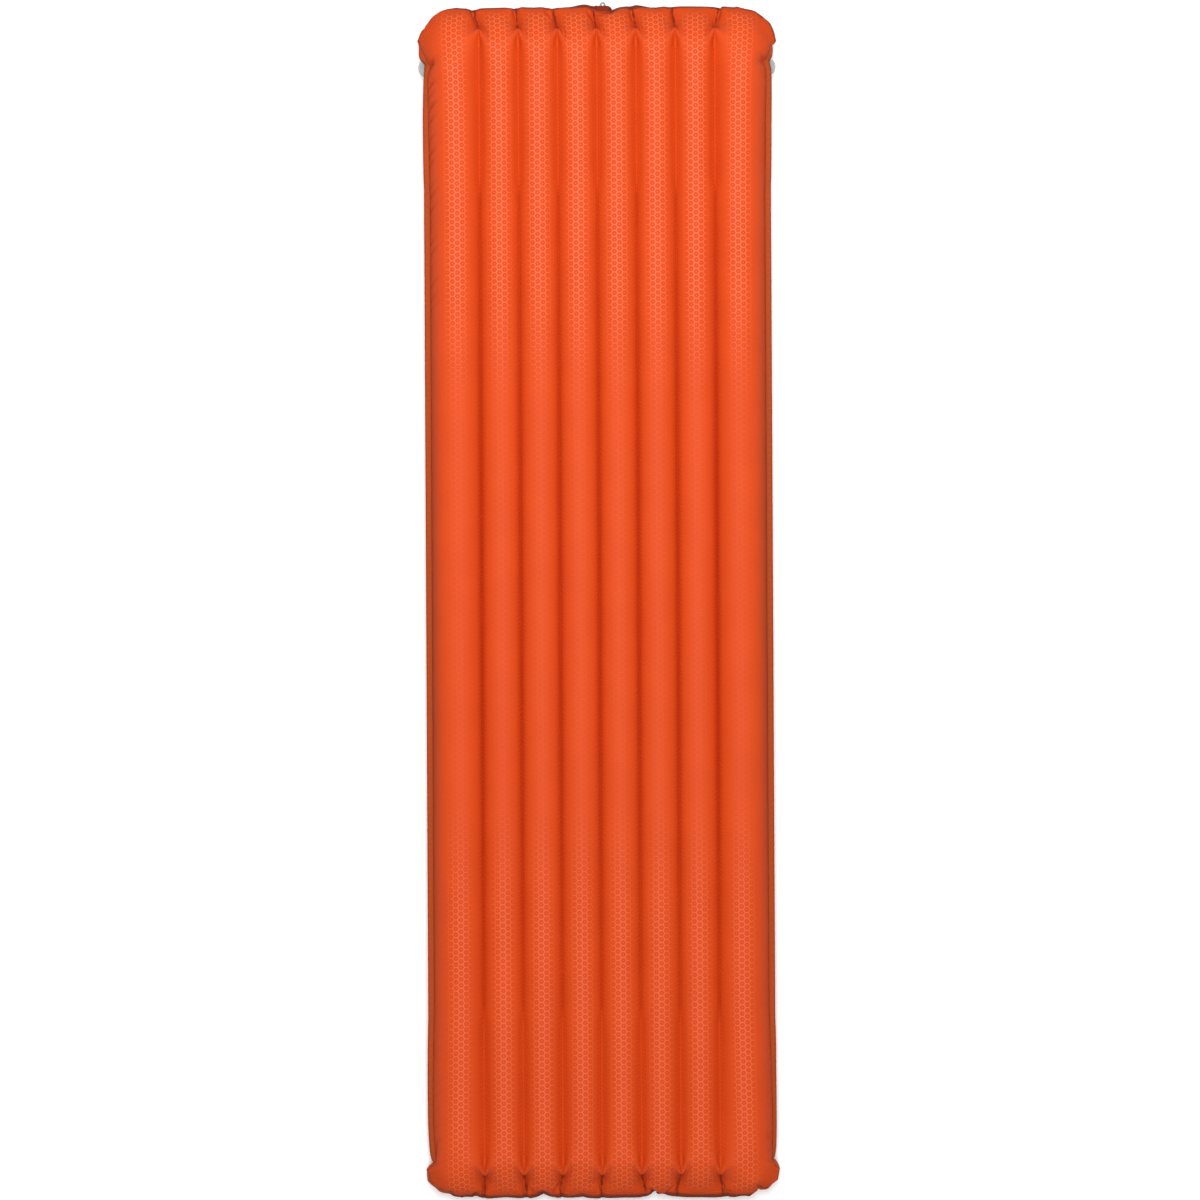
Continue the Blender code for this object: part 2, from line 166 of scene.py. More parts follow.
def flat_pattern():
    """The cut of one end of a sheet: points (across, along) in rows, the last at the flange edge."""
    fine = np.arange(0, FINE_ROWS, CELL)
    coarse = np.arange(fine[-1] + 2 * CELL, END_BLOCK, 2 * CELL)
    rows = CUT_SEAM_Y - np.concatenate([fine, coarse])[::-1]
    seam = len(rows) - 1
    rows = np.concatenate([rows, CUT_SEAM_Y + FLANGE * np.arange(1, CELLS_FLANGE + 1) / CELLS_FLANGE])
    corner_x, corner_y = FLAT[RIGHT] - CORNER, CUT_SEAM_Y - CORNER
    across, along = np.meshgrid(FLAT, rows)
    a = np.clip((np.abs(across) - corner_x) / CORNER, 0, 1)
    b = np.clip((along - corner_y) / CORNER, 0, 1)
    rounded = (a > 0) & (b > 0)
    round_x = np.sign(across) * (corner_x + CORNER * a * np.sqrt(1 - b * b / 2))
    round_y = corner_y + CORNER * b * np.sqrt(1 - a * a / 2)
    cut = np.stack([np.where(rounded, round_x, across), np.where(rounded, round_y, along)], -1)

    def outwards(points):
        past_x = np.sign(points[..., 0]) * np.maximum(np.abs(points[..., 0]) - corner_x, 0)
        past = np.stack([past_x, np.maximum(points[..., 1] - corner_y, 0)], -1)
        return past / np.linalg.norm(past, axis=-1, keepdims=True).clip(1e-9)

    for k in range(1, CELLS_FLANGE + 1):
        step = FLANGE * k / CELLS_FLANGE
        end_seam = cut[seam, LEFT : RIGHT + 1]
        cut[seam + k, LEFT : RIGHT + 1] = end_seam + step * outwards(end_seam)
        for edge, way in ((LEFT, -1), (RIGHT, 1)):
            cut[: seam + 1, edge + way * k] = cut[: seam + 1, edge] + step * outwards(cut[: seam + 1, edge])
            for j in range(1, CELLS_FLANGE + 1):
                step_both = FLANGE * max(k, j) / CELLS_FLANGE
                cut[seam + j, edge + way * k] = cut[seam, edge] + step_both * outwards(cut[seam, edge])
    return cut, seam


def links(cut, row_step, column_step, stretch, squeeze, slack=1.0):
    """Distance constraints along one direction of the grid, in sets in which no point occurs twice.

    stretch and squeeze are the stiffness against being pulled longer and pushed shorter: thin film
    gives way to being pushed."""
    rows, columns = cut.shape[:2]
    step = row_step or column_step
    count = rows if row_step else columns
    to_right, to_left = max(column_step, 0), max(-column_step, 0)
    near, far = slice(to_left, columns - to_right), slice(to_right, columns - to_left)
    both = slice(None)
    found = []
    for phase in range(2 * step):
        first = slice(phase, count - step, 2 * step)
        second = slice(phase + step, count, 2 * step)
        here, there = ((first, near), (second, far)) if row_step else ((both, first), (both, second))
        rest = slack * np.linalg.norm(cut[here] - cut[there], axis=-1).astype(np.float32)
        found.append(((both, *here), (both, *there), rest, np.float32(stretch), np.float32(squeeze)))
    return found


def start_shape(cut, leans):
    """A rough end for the solver to blow up: tubes that close towards the seam, pleated at the valleys."""
    reach, squash = 0.075, 0.85
    across, along = np.abs(cut[..., 0]), cut[..., 1]
    t = np.clip((along - (CUT_SEAM_Y - reach)) / reach, 0, 1)
    share = smooth(t)
    tubes_x = np.interp(across, FLAT[MIDDLE:], TUBES_X[MIDDLE:])
    height = np.interp(across, FLAT[MIDDLE:], TUBES_Z[MIDDLE:])
    chamber = np.minimum(np.floor(across / ARC_IN), 3)
    inner = across - (chamber + 0.5) * ARC_IN
    outer = across - 3 * ARC_IN
    tuck = (ARC_IN - PITCH) / 2
    gathered = np.where(
        chamber < 3,
        (chamber + 0.5) * PITCH + np.clip(inner, -PITCH / 2, PITCH / 2),
        3 * PITCH + np.maximum(outer - tuck, 0) * 0.85,
    )
    fold = np.where(chamber < 3, np.maximum(np.abs(inner) - PITCH / 2, 0), np.maximum(tuck - outer, 0))
    x = np.sign(cut[..., 0]) * (tubes_x * (1 - share) + gathered * share)
    for column, lean in zip(VALLEYS, leans):
        x = x + lean * bell(FLAT[None, :] - FLAT[column], 0.012) * smooth((along - CUT_BAFFLE_END) / 0.03)
    y = np.minimum(along, CUT_SEAM_Y - reach) + np.maximum(along - (CUT_SEAM_Y - reach), 0) * squash
    z = height * np.sqrt(np.clip(1 - t * t, 0, 1))
    dip = fold * share
    return np.stack([np.stack([x, y, z - dip], -1), np.stack([x, y, -z - dip], -1)]).astype(np.float32)


def hold_points(cut, seam, leans, notches, side_notches, corners, valves, tab):
    """Where points are held: the value of each held coordinate, and NaN where it is free."""
    rows, columns = cut.shape[:2]
    held = np.full((2, rows, columns, 3), np.nan, np.float32)
    along = cut[..., 1]
    held[:, :2, :, 0] = TUBES_X
    held[:, :2, :, 1] = along[:2]
    held[0, :2, :, 2] = TUBES_Z
    held[1, :2, :, 2] = -TUBES_Z
    for column, lean in zip(VALLEYS, leans):
        x = TUBES_X[column]
        run = np.clip((along[:, column] - CUT_BAFFLE_END) / (CUT_SEAM_Y - CUT_BAFFLE_END), 0, 1)
        held[:, :, column, 0] = x + lean * smooth(run)
        height = VALLEY * (1 - run) ** CREASE_DROP
        held[0, :, column, 2] = height - PLEAT_SINK * run
        held[1, :, column, 2] = -height - PLEAT_SINK * run
    for place, depth, sink in notches:
        column = MIDDLE + round(place / (ARC_IN / CELLS_IN))
        for row in range(seam, rows):
            held[:, row, column, 1] = SEAM_Y + (along[row, column] - CUT_SEAM_Y) * 0.9 - depth
            held[:, row, column, 2] = -sink
        for shoulder in (column - 4, column + 4):
            held[:, seam, shoulder, 1] = SEAM_Y - 0.22 * depth
    for side, place, depth, sink in side_notches:
        row = int(np.argmin(np.abs(along[:, MIDDLE] - place)))
        edge = RIGHT if side > 0 else LEFT
        for k in range(CELLS_FLANGE + 1):
            held[:, row, edge + side * k, 0] = side * (EDGE_X - FLANGE - depth + FLANGE * k / CELLS_FLANGE)
            held[:, row, edge + side * k, 2] = -sink
    on_seam = np.full((rows, columns), False)
    on_seam[seam, LEFT : RIGHT + 1] = True
    on_seam[: seam + 1, [LEFT, RIGHT]] = True
    for side, turn, x, y, z in corners:
        turn = math.radians(turn)
        corner_x = side * (FLAT[RIGHT] - CORNER + CORNER * math.cos(turn))
        corner_y = CUT_SEAM_Y - CORNER + CORNER * math.sin(turn)
        gap = np.where(on_seam, np.hypot(cut[..., 0] - corner_x, cut[..., 1] - corner_y), 1.0)
        row, column = np.unravel_index(np.argmin(gap), gap.shape)
        held[:, row, column] = (side * x, y, z)
    for cut_x, cut_y, centre, slope in valves:
        offset = cut - np.array([cut_x, cut_y])
        disc = np.hypot(offset[..., 0], offset[..., 1]) < VALVE_DISC
        side = np.sign(cut_x)
        spot = np.array(centre) + side * offset[disc][:, :1] * np.array(slope)
        held[1][disc] = spot + offset[disc][:, 1:] * np.array([0, 1, 0])
    if tab:
        tab_x, half_width, tuck = tab
        flat = (np.abs(cut[..., 0] - tab_x - tuck) < half_width) & (along > CUT_SEAM_Y - 0.0001)
        held[:, flat, 0] = cut[flat][:, 0] - tuck
        held[:, flat, 1] = EDGE_Y - (CUT_HALF_LENGTH - along[flat])
        held[:, flat, 2] = 0
    return held


def inflate(leans, notches, side_notches, corners, seed, valves=(), tab=None):
    """Blows up one end of the pad, with a position-based cloth solver on both sheets."""
    steps, rounds = ((220, 10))
    press = 4e-5 / (4 * CELL * CELL)
    damping, over_relax = 0.9, 1.4
    cut, seam = flat_pattern()
    points = start_shape(cut, leans)
    points += np.random.default_rng(seed).normal(0, 0.0003, points.shape).astype(np.float32)
    constraints = links(cut, 0, 1, PULL, PUSH) + links(cut, 1, 0, PULL, PUSH)
    for diagonal in (1, -1):
        constraints += links(cut, 1, diagonal, PULL * SHEAR, PUSH * SHEAR)
    constraints += links(cut, 0, 2, 0.0, BEND, BEND_LIMIT) + links(cut, 2, 0, 0.0, BEND, BEND_LIMIT)
    held = hold_points(cut, seam, leans, notches, side_notches, corners, valves, tab)
    is_held = ~np.isnan(held)
    values = held[is_held]
    welded = np.ones(cut.shape[:2], bool)
    welded[:seam, LEFT + 1 : RIGHT] = False
    before = points.copy()
    for step in range(steps):
        start = points.copy()
        points += (points - before) * np.float32(damping)
        before = start
        one = points[:, 1:, 1:] - points[:, :-1, :-1]
        other = points[:, 1:, :-1] - points[:, :-1, 1:]
        push = np.cross(one, other) * np.float32(0.5 * press)
        push[1] *= -1
        push[:, seam:] = 0
        push[:, :, :LEFT] = 0
        push[:, :, RIGHT:] = 0
        for corner in (points[:, 1:, 1:], points[:, :-1, :-1], points[:, 1:, :-1], points[:, :-1, 1:]):
            corner += push
        for _ in range(rounds):
            for here, there, rest, stretch, squeeze in constraints:
                gap = points[there] - points[here]
                length = np.sqrt(np.einsum("...i,...i", gap, gap)) + np.float32(1e-9)
                error = 1 - rest / length
                stiffness = np.where(error > 0, stretch, squeeze)
                gap *= (np.float32(0.5 * over_relax) * stiffness * error)[..., None]
                points[here] += gap
                points[there] -= gap
            both = (points[0][welded] + points[1][welded]) / 2
            points[0][welded] = both
            points[1][welded] = both
            points[is_held] = values
            np.maximum(points[..., 2], -R_OUT, out=points[..., 2])
    return points, cut, seam


# ---- the sheets


def valve_frame(use):
    """The valve's place: origin at the throat, +X up along the sheet and +Z straight out of the throat."""
    hinge = joints[use + "_cap_hinge"]
    side = math.copysign(1, hinge["pos_m"][0])
    out = Vector((side * math.cos(VALVE_TILT), 0, -math.sin(VALVE_TILT)))
    along = Vector((side * math.sin(VALVE_TILT), 0, math.cos(VALVE_TILT)))
    turn = Matrix((along, out.cross(along), out)).transposed().to_4x4()
    centre = Vector(hinge["pos_m"]) - HINGE_OUT * along - HINGE_UP * out
    return Matrix.Translation(centre) @ turn, side


def valve_seat(use):
    """(flat place across, flat place along, centre, slope) of the fabric under a valve."""
    matrix, side = valve_frame(use)
    out, along = matrix.col[2].xyz, matrix.col[0].xyz
    centre = matrix.translation - SEAT_GAP * out - Vector((0, MID_Y, MID_Z))
    turn = HALF_ANGLE_OUT + math.pi / 2 - VALVE_TILT
    return side * (3 * ARC_IN + turn * R_OUT), centre.y, tuple(centre), tuple(along)


def doubled(values):
    """Twice as many rows and columns, on the cubic B-spline surface of the grid."""
    for axis in (0, 1):
        line = np.moveaxis(values, axis, 0)
        finer = np.empty((2 * len(line) - 1, *line.shape[1:]))
        finer[::2] = line
        finer[2:-1:2] = (line[:-2] + 6 * line[1:-1] + line[2:]) / 8
        finer[1::2] = (line[:-1] + line[1:]) / 2
        values = np.moveaxis(finer, 0, axis)
    return values


def ripple(places, wavelength, seed):
    """An uneven wave along the given places, from -1 to 1: three sines of unlike lengths."""
    draw = np.random.default_rng(seed)
    wave = 0.0
    for share in (1.0, 0.73, 1.31):
        wave = wave + np.sin(2 * np.pi * places / (wavelength * share) + draw.uniform(0, 2 * np.pi))
    return wave / 3


def edge_distance(cut):
    """How far a point of the flat pattern lies inside the flange's outer edge, whose corners are round."""
    radius = CORNER + FLANGE
    past_x = np.abs(cut[..., 0]) - (CUT_HALF_WIDTH - radius)
    past_y = np.abs(cut[..., 1]) - (CUT_HALF_LENGTH - radius)
    outside = np.hypot(np.maximum(past_x, 0), np.maximum(past_y, 0))
    return radius - outside - np.minimum(np.maximum(past_x, past_y), 0)


def weld_distance(cut):
    """How far a point of the flat pattern lies from the nearest baffle's weld line."""
    place = np.abs(cut[..., 0])
    return np.where(place < 3.5 * ARC_IN, np.abs(place - np.round(place / ARC_IN) * ARC_IN), 1.0)


def shaped(points, cut, up):
    """The grid with the small relief that the solver's cells can't hold, and the flange's thickness."""
    across = np.gradient(points, axis=1)
    along = np.gradient(points, axis=0)
    normal = up * np.cross(across, along)
    normal /= np.linalg.norm(normal, axis=-1, keepdims=True).clip(1e-12)
    edge = edge_distance(cut)
    inside = edge - FLANGE
    side = np.sign(cut[..., 0])
    y = cut[..., 1]
    # Slanting wrinkles run from the side seams up the outer tubes, at the head's left and at the foot.
    slant = y + 0.45 * side * inside
    near_seam = bell(inside - 0.016, 0.019) * smooth(inside / 0.004)
    head_left = smooth((y - 0.38) / 0.12) * smooth((0.83 - y) / 0.03) * (side < 0)
    foot = smooth((-0.62 - y) / 0.10) * smooth((y + 0.86) / 0.02)
    outer_tube = np.abs(cut[..., 0]) > 3 * ARC_IN
    strength = (head_left + 0.4 * foot + 0.2) * outer_tube
    calm = 1.0
    if up < 0:
        for seat in seats:
            calm = calm * smooth((np.hypot(cut[..., 0] - seat[0], y - seat[1]) - 0.022) / 0.012)
    creases = smooth((ripple(slant, 0.017, 11 if up > 0 else 12) - 0.15) / 0.5)
    relief = -0.0019 * strength * near_seam * creases
    # A few deeper creases run off the side notches.
    rising = y - 0.45 * inside
    for crease_side, places in SIDE_CREASES.items():
        on_side = (side == crease_side) * outer_tube
        for place, depth in places:
            relief = relief - depth * on_side * near_seam * bell(rising - place, 0.0032)
    relief = relief + 0.0003 * ripple(y, 0.19, 13) * smooth(inside / 0.03)
    lift = SHEET * smooth(1 - inside / 0.02)
    # The welded lip of each baffle makes the fabric stand out a little round its end.
    lip = bell(np.abs(y) - BAFFLE_END - 0.003, 0.009) * bell(weld_distance(cut) - 0.004, 0.004)
    moved = points + normal * (relief * calm + lift + 0.0013 * lip)[..., None]
    # The free edge of the flange waves up and down. Both sheets wave together.
    free = np.clip(1 - edge / FLANGE, 0, 1) * (1 - smooth((np.abs(y) - 0.78) / 0.05))
    flutter = ripple(y + 0.03 * side, 0.075, 14) + 0.35 * ripple(y + 0.01 * side, 0.021, 15)
    moved[..., 2] += 0.0016 * free * flutter
    return moved


def middle_rows():
    """Rows of true tubes between the blown-up ends, close together where the side seams are wrinkled."""
    start = CUT_SEAM_Y - end_depth
    close = np.arange(-start, -WRINKLES_FROM, CELL)[1:]
    wide = np.linspace(-WRINKLES_FROM, WRINKLES_FROM, MIDDLE_ROWS)
    rows = np.concatenate([close, wide, -close[::-1]])
    cut = np.stack(np.broadcast_arrays(FLAT[None, :], rows[:, None]), -1)
    tubes = np.stack(np.broadcast_arrays(TUBES_X[None, :], rows[:, None], TUBES_Z[None, :]), -1)
    return tubes, cut


def hang_flange(points, seam, across, along, tilt, has_tab):
    """Lets the flange hang down round an end. It lies flat at the hang tab and hangs less beside it."""
    flange = 2 * CELLS_FLANGE
    end_tilt = math.radians(tilt) * np.ones(len(across))
    if has_tab:
        end_tilt *= 1 - 0.30 * smooth((across + 0.050) / 0.030) * smooth((0.105 - across) / 0.030)
        end_tilt *= 1 - smooth((across - 0.001) / 0.006) * smooth((0.036 - across) / 0.010)
    side_tilt = math.radians(tilt) * smooth((along - SIDE_FLANGE_END) / 0.03)
    for k in range(1, flange + 1):
        down = FLANGE * k / flange
        for seam_points, flange_points, tilt in (
            (points[seam], points[seam + k], end_tilt),
            (points[: seam + 1, flange], points[: seam + 1, flange - k], side_tilt),
            (points[: seam + 1, -flange - 1], points[: seam + 1, k - flange - 1], side_tilt),
        ):
            flange_points -= seam_points
            flange_points *= np.cos(tilt)[:, None]
            flange_points[:, 2] -= down * np.sin(tilt)
            flange_points += seam_points


def end_rows(end, layer, tilt, has_tab=False):
    """One blown-up end: rows with the solver's columns, then rows with twice as many, to the flange edge."""
    points, cut, seam = end
    points, cut = doubled(points[layer].astype(float)), doubled(cut.astype(float))
    hang_flange(points, 2 * seam, cut[2 * seam, :, 0], cut[: 2 * seam + 1, 2 * LEFT, 1], tilt, has_tab)
    fine_from = 2 * (seam - SMOOTH_ROWS)
    wide_rows = seam + 1 - round(FINE_ROWS / CELL)
    rows = list(range(0, 2 * wide_rows)) + list(range(2 * wide_rows, fine_from, 2))
    return (points[rows, ::2], cut[rows, ::2]), (points[fine_from:], cut[fine_from:])


def turned_round(grid):
    """A grid of the foot end, which the solver blew up as if it were a head end."""
    flip = [np.array([1, -1, 1]), np.array([1, -1])]
    return tuple((values * sign)[::-1] for values, sign in zip(grid, flip))


def open_throats(points, cut):
    """Rounds the lower sheet's holes for the throats, and says which points lie inside them."""
    gone = np.zeros(cut.shape[:2], bool)
    for cut_x, cut_y, centre, slope in seats:
        offset = cut - np.array([cut_x, cut_y])
        distance = np.hypot(offset[..., 0], offset[..., 1])
        near = (distance > THROAT_HOLE - CELL / 2) & (distance < THROAT_HOLE + CELL / 2)
        rim = offset[near] * (THROAT_HOLE / distance[near])[:, None]
        spot = np.array(centre) + math.copysign(1, cut_x) * rim[:, :1] * np.array(slope)
        points[near] = spot + rim[:, 1:] * np.array([0, 1, 0])
        gone |= distance <= THROAT_HOLE - CELL / 2
    return gone


def make_sheet(name, layer):
    """One sheet as a single skin with its thickness: foot end, tubes and head end joined row by row."""
    up = 1 if layer == 0 else -1
    head_wide, head_fine = end_rows(head, layer, HEAD_TILT, has_tab=True)
    foot_wide, foot_fine = (turned_round(grid) for grid in end_rows(foot, layer, FOOT_TILT))
    tubes, tubes_cut = middle_rows()
    tubes = tubes * np.array([1, 1, up])
    coarse = [np.concatenate(parts) for parts in zip(foot_wide, (tubes, tubes_cut), head_wide)]
    points, cuts, faces, grids = [], [], [], []
    total = 0
    for grid_points, grid_cut in (foot_fine, coarse, head_fine):
        grid_points = shaped(grid_points, grid_cut, up)
        gone = open_throats(grid_points, grid_cut) if up < 0 else np.zeros(grid_cut.shape[:2], bool)
        index = np.arange(gone.size).reshape(gone.shape) + total
        total += gone.size
        points.append(grid_points.reshape(-1, 3))
        cuts.append(grid_cut.reshape(-1, 2))
        grids.append((index, gone))

    missing = {int(i) for index, gone in grids for i in index[gone]}

    def strip(low, high):
        """Faces between two rows of points, the second towards the head. One may have twice the points."""
        if len(low) == len(high):
            rings = np.stack([low[:-1], low[1:], high[1:], high[:-1]], -1)
        elif len(high) > len(low):
            rings = np.stack([low[:-1], low[1:], high[2::2], high[1::2], high[:-1:2]], -1)
        else:
            rings = np.stack([low[:-1:2], low[1::2], low[2::2], high[1:], high[:-1]], -1)
        for ring in rings.tolist():
            if not missing.intersection(ring):
                faces.append(ring if up > 0 else ring[::-1])

    flange = 2 * CELLS_FLANGE
    foot_index, coarse_index, head_index = (index for index, _ in grids)
    inner = [*foot_index[flange:], *coarse_index, *head_index[:-flange]]
    for low, high in zip(inner, inner[1:]):
        strip(low, high)
    for seam_row, outer_rows, is_head in (
        (inner[0], foot_index[:flange][::-1], False),
        (inner[-1], head_index[-flange:], True),
    ):
        last = seam_row[flange:-flange]
        for k, row in enumerate(outer_rows, 1):
            first, final = seam_row[flange - k], seam_row[-flange - 1 + k]
            new = np.concatenate([[first], row[flange + 1 : -flange - 1], [final]])
            strip(last, new) if is_head else strip(new, last)
            last = new
    points, cuts = np.concatenate(points), np.concatenate(cuts)
    points += np.array([0, MID_Y, MID_Z])
    points[:, 2] = np.maximum(points[:, 2], 0)
    used = np.zeros(len(points), bool)
    for ring in faces:
        used[ring] = True
    renumber = np.cumsum(used) - 1
    mesh = bpy.data.meshes.new(name)
    mesh.from_pydata(points[used].tolist(), [], [renumber[ring].tolist() for ring in faces])
    cuts = cuts[used]
    crown = np.abs(cuts[:, 0])
    crown = np.where(crown < 3 * ARC_IN, np.abs(crown % ARC_IN - ARC_IN / 2), np.abs(crown - CROWN_OUT))
    seat = np.min([np.hypot(cuts[:, 0] - s[0], cuts[:, 1] - s[1]) for s in seats], axis=0)
    zero = np.zeros(len(cuts))
    for attribute, columns in (
        ("flat_place", (cuts[:, 0], cuts[:, 1], zero)),
        ("distances", (weld_distance(cuts), crown, edge_distance(cuts))),
        ("valve_distance", (seat, zero, zero)),
    ):
        layer_data = mesh.attributes.new(attribute, "FLOAT_VECTOR", "POINT")
        layer_data.data.foreach_set("vector", np.stack(columns, -1).astype(np.float32).ravel())
    mesh.shade_smooth()
    # The weld lines and the pleats behind them are sharp creases.
    ends = np.empty(2 * len(mesh.edges), np.int32)
    mesh.edges.foreach_get("vertices", ends)
    creased = (weld_distance(cuts) < 0.0001) & (np.abs(cuts[:, 1]) < CUT_SEAM_Y + 0.0001)
    sharp = mesh.attributes.new("sharp_edge", "BOOLEAN", "EDGE")
    sharp.data.foreach_set("value", creased[ends.reshape(-1, 2)].all(axis=1))
    sheet = placed(name, mesh)
    solid = sheet.modifiers.new("thickness", "SOLIDIFY")
    solid.thickness = SHEET - 0.0001
    solid.offset = -1
    return sheet


# ---- materials


class Shader:
    """A Principled material and short calls for the nodes that feed it."""

    def __init__(self, name, roughness, transmission=0.0):
        self.material = bpy.data.materials.new(name)
        self.material.use_nodes = True
        self.tree = self.material.node_tree
        self.main = self.tree.nodes["Principled BSDF"]
        self.main.inputs["Roughness"].default_value = roughness
        self.main.inputs["Transmission Weight"].default_value = transmission

    def node(self, kind, **settings):
        made = self.tree.nodes.new(kind)
        for key, value in settings.items():
            setattr(made, key, value)
        return made

    def feed(self, socket, value):
        if isinstance(value, bpy.types.NodeSocket):
            self.tree.links.new(value, socket)
        else:
            socket.default_value = value

    def math(self, operation, *values):
        made = self.node("ShaderNodeMath", operation=operation)
        for socket, value in zip(made.inputs, values):
            self.feed(socket, value)
        return made.outputs[0]

    def times(self, *values):
        """The product of all the values."""
        product = values[0]
        for value in values[1:]:
            product = self.math("MULTIPLY", product, value)
        return product

    def add(self, one, other):
        return self.math("ADD", one, other)

    def gap(self, value, place):
        """How far value is from place."""
        return self.math("ABSOLUTE", self.math("SUBTRACT", value, place))

    def step(self, value, low, high, from_value=0.0, to_value=1.0):
        """A smooth step of value between low and high."""
        made = self.node("ShaderNodeMapRange", interpolation_type="SMOOTHSTEP")
        for socket, given in zip(made.inputs, (value, low, high, from_value, to_value)):
            self.feed(socket, given)
        return made.outputs[0]

    def parts(self, vector):
        made = self.node("ShaderNodeSeparateXYZ")
        self.feed(made.inputs[0], vector)
        return made.outputs

    def attribute(self, name):
        """A vector that is stored on the mesh, and its three parts."""
        vector = self.node("ShaderNodeAttribute", attribute_name=name).outputs["Vector"]
        return vector, self.parts(vector)

    def noise(self, scale, detail=2.0, vector=None):
        made = self.node("ShaderNodeTexNoise")
        made.inputs["Scale"].default_value = scale
        made.inputs["Detail"].default_value = detail
        if vector is None:
            vector = self.node("ShaderNodeTexCoord").outputs["Object"]
        self.feed(made.inputs["Vector"], vector)
        return made.outputs["Fac"]

    def mix(self, share, one, other):
        made = self.node("ShaderNodeMix", data_type="RGBA")
        for socket, value in zip((made.inputs[0], made.inputs[6], made.inputs[7]), (share, one, other)):
            self.feed(socket, value)
        return made.outputs[2]

    def tint(self, base, mask, share, colour):
        """base, with a share of colour where mask is 1."""
        return self.mix(self.times(mask, share), base, (*colour, 1))

    def bump(self, height, distance, strength=1.0, normal=None):
        made = self.node("ShaderNodeBump")
        made.inputs["Strength"].default_value = strength
        made.inputs["Distance"].default_value = distance
        self.feed(made.inputs["Height"], height)
        if normal is not None:
            self.feed(made.inputs["Normal"], normal)
        return made.outputs[0]

    def finish(self, base, rough=None, normal=None):
        """The material, with its main values fed."""
        for name, value in (("Base Color", base), ("Roughness", rough), ("Normal", normal)):
            if value is not None:
                self.feed(self.main.inputs[name], value)
        return self.material


HEX_PITCH = 0.00905
RING_RADIUS, DOT_RADIUS = 0.0019, 0.0009
THREAD = 0.0006
WELD_EDGE = 0.0026  # from the middle of a weld line
WELD_PUCKERS, SEAM_PUCKERS = 0.0062, 0.0085


def honeycomb(s, across, along):
    """(outline, ring, dot) masks of a print of hexagons with a small ring in each, on the flat pattern."""
    wide, half = math.sqrt(3) * HEX_PITCH / 2, HEX_PITCH / 2

    def cell(shift_across, shift_along):
        x = s.math("WRAP", s.add(across, shift_across), wide, -wide)
        y = s.math("WRAP", s.add(along, shift_along), half, -half)
        return x, y, s.add(s.times(x, x), s.times(y, y))

    x1, y1, square1 = cell(0.0, 0.0)
    x2, y2, square2 = cell(wide, half)
    nearer = s.math("LESS_THAN", square1, square2)

    def choose(one, other):
        return s.add(s.times(s.math("SUBTRACT", one, other), nearer), other)

    x = s.math("ABSOLUTE", choose(x1, x2))
    y = s.math("ABSOLUTE", choose(y1, y2))
    slanted = s.add(s.times(x, math.sqrt(3) / 2), s.times(y, 0.5))
    to_side = s.math("MAXIMUM", y, slanted)
    radius = s.math("SQRT", s.math("MINIMUM", square1, square2))
    outline = s.step(to_side, half - 0.0009, half - 0.0004)
    ring = s.step(s.gap(radius, RING_RADIUS), 0.0009, 0.0003)
    dot = s.step(radius, DOT_RADIUS + 0.0003, DOT_RADIUS - 0.0003)
    return outline, ring, dot


def weave(s, across, along):
    """The height of a plain weave."""
    return s.times(*[s.math("SINE", s.times(place, 2 * math.pi / THREAD)) for place in (across, along)])


def print_highlight_mask(s, along, out, crown, edge):
    """Where the print is shown, a painted highlight on its glossy lines: on the crowns, wider where they
    turn down to the ends, fainter in the middle and towards the foot, and on the flange.
    """
    far = s.step(out, 0.28, 0.52, 0.13, 1.0)
    wide = s.step(out, CUT_SEAM_Y - 0.075, CUT_SEAM_Y - 0.020, 0.0250, 0.0330)
    last = s.step(out, CUT_SEAM_Y - 0.006, CUT_SEAM_Y - 0.024)
    on_crown = s.times(s.step(crown, wide, 0.0070), far, last)
    on_flange = s.times(s.step(edge, FLANGE + 0.002, FLANGE - 0.001, 0.0, 0.4), last)
    return s.times(s.math("MAXIMUM", on_crown, on_flange), s.step(along, -0.3, 0.3, 0.78, 1.0))


def shaded(s, base, flat, out, weld, edge, welded, flange):
    """The fabric's colour with its weld lines and its flange, and painted shade on the flange round the
    ends, in the pleats and along the seams.
    """
    weld_edge = s.times(welded, s.step(s.gap(weld, WELD_EDGE), 0.0012, 0.0004))
    base = s.tint(base, weld_edge, 0.22, (0.36, 0.020, 0.002))
    base = s.tint(base, flange, 0.68, (0.28, 0.050, 0.010))
    # Round both ends, where the flange hangs down, it is painted much darker: painted shade.
    base = s.tint(base, s.step(out, CUT_SEAM_Y + 0.0005, CUT_SEAM_Y + 0.002), 0.85, (0.12, 0.010, 0.004))
    base = s.tint(base, s.step(edge, 0.0016, 0.0006), 0.45, (0.17, 0.018, 0.006))
    # Painted shade darkens the pleats behind the baffles' ends, with ragged edges, and a softer painted
    # shade lies round each baffle's end.
    uneven = s.add(weld, s.step(s.noise(95.0, 3.0, flat), 0.30, 0.70, -0.0016, 0.0014))
    in_pleat = s.times(s.step(uneven, 0.0027, 0.0007), s.math("SUBTRACT", 1.0, welded))
    base = s.tint(base, in_pleat, 0.8, (0.12, 0.009, 0.002))
    by_end = s.step(s.gap(out, CUT_BAFFLE_END + 0.005), 0.018, 0.002)
    base = s.tint(base, s.times(s.step(weld, 0.013, 0.002), by_end), 0.40, (0.30, 0.020, 0.002))
    # Painted shadow in the crease where the tubes meet the flange, patchy in strength.
    by_seam = s.step(s.gap(edge, FLANGE + 0.0006), 0.0018, 0.0003)
    patchy = s.step(s.noise(55.0, 2.0, flat), 0.30, 0.62, 0.30, 0.85)
    return s.tint(base, by_seam, patchy, (0.15, 0.014, 0.003))


